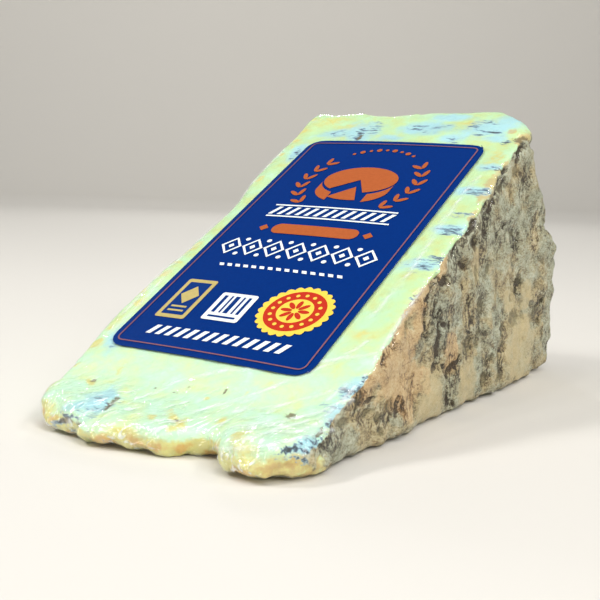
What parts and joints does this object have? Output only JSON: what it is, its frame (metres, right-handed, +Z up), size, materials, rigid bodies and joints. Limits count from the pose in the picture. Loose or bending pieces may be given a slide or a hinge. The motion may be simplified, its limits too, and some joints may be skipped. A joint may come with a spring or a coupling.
{
  "type": "film-wrapped wedge of blue cheese",
  "caption": "Wedge of blue-veined cheese with a crusty rind, wrapped tightly in clear film, lying on one cut face with a printed label on the other.",
  "frame": {"origin": "on the surface that the wedge lies on, under the middle of its bounding box", "axes": "+Z up; -Y towards the wedge's thin edge and +Y towards the outer rind; +X towards the flat rind of the wheel's end"},
  "size_m": [0.054, 0.1088, 0.0529],
  "materials": {
    "cheese": "pale cream paste with blue-grey veins and a tan and grey crusty rind, seen through tight clear glossy film",
    "label": null
  },
  "bodies": {
    "root": {"cheese_wedge": "cheese", "label": "label"}
  },
  "joints": []
}
